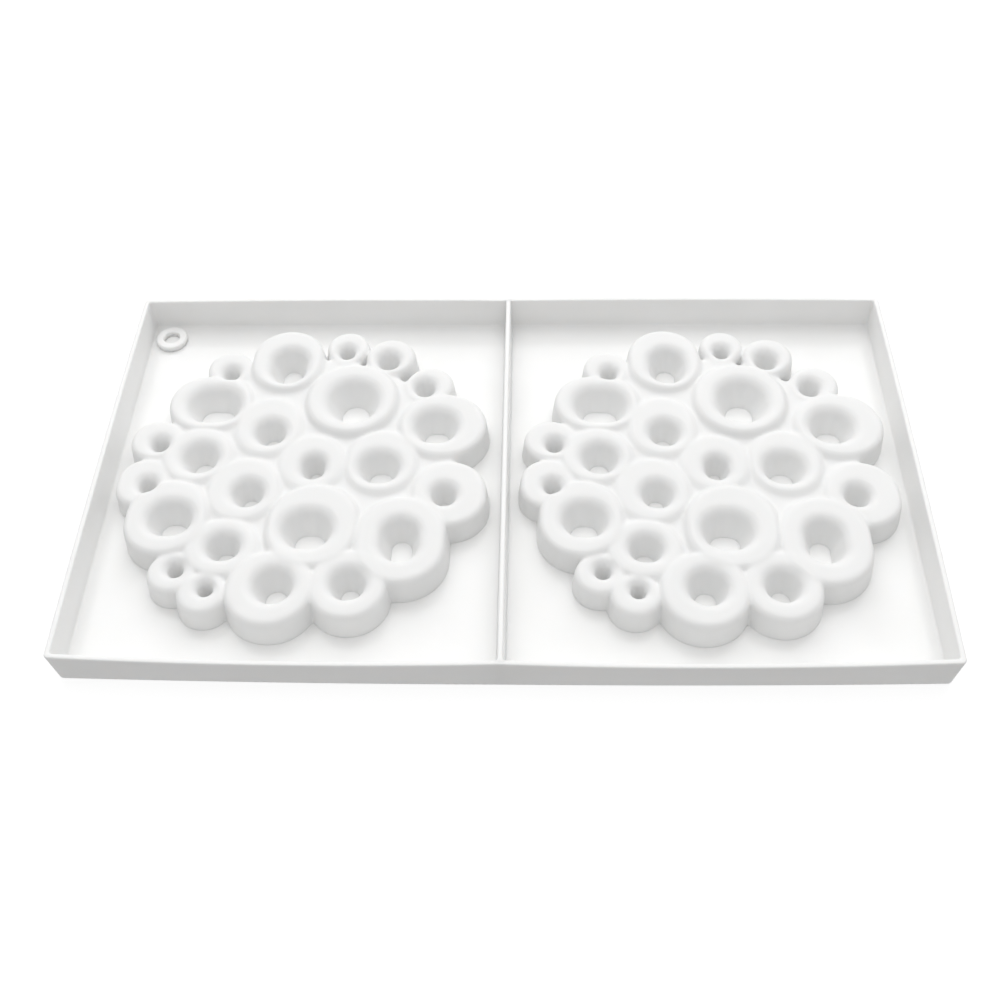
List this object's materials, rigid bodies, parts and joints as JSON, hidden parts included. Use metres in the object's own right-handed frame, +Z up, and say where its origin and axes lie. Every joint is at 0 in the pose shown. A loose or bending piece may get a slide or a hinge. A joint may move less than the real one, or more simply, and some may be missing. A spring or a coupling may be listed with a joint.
{
  "type": "casting mould",
  "caption": "Shallow rectangular casting mould: a thin-walled tray split by a divider, each cell with a raised round cluster of ring bosses with blind funnel holes.",
  "frame": {"origin": "middle of the flat underside, on the surface that the mould rests on", "axes": "+X along the two cells, +Z up out of the open cells, -Y towards the side named front"},
  "size_m": [0.2508, 0.1455, 0.0125],
  "materials": {
    "tray_silicone": "satin, white, moulded",
    "boss_silicone": "frosted matte, white, moulded",
    "ring_silicone": "satin, white, moulded"
  },
  "bodies": {
    "root": {"tray_floor": "tray_silicone", "front_wall": "tray_silicone", "right_wall": "tray_silicone", "back_wall": "tray_silicone", "left_wall": "tray_silicone", "divider_wall": "tray_silicone", "left_boss_cluster": "boss_silicone", "right_boss_cluster": "boss_silicone", "corner_ring": "ring_silicone"}
  },
  "joints": []
}
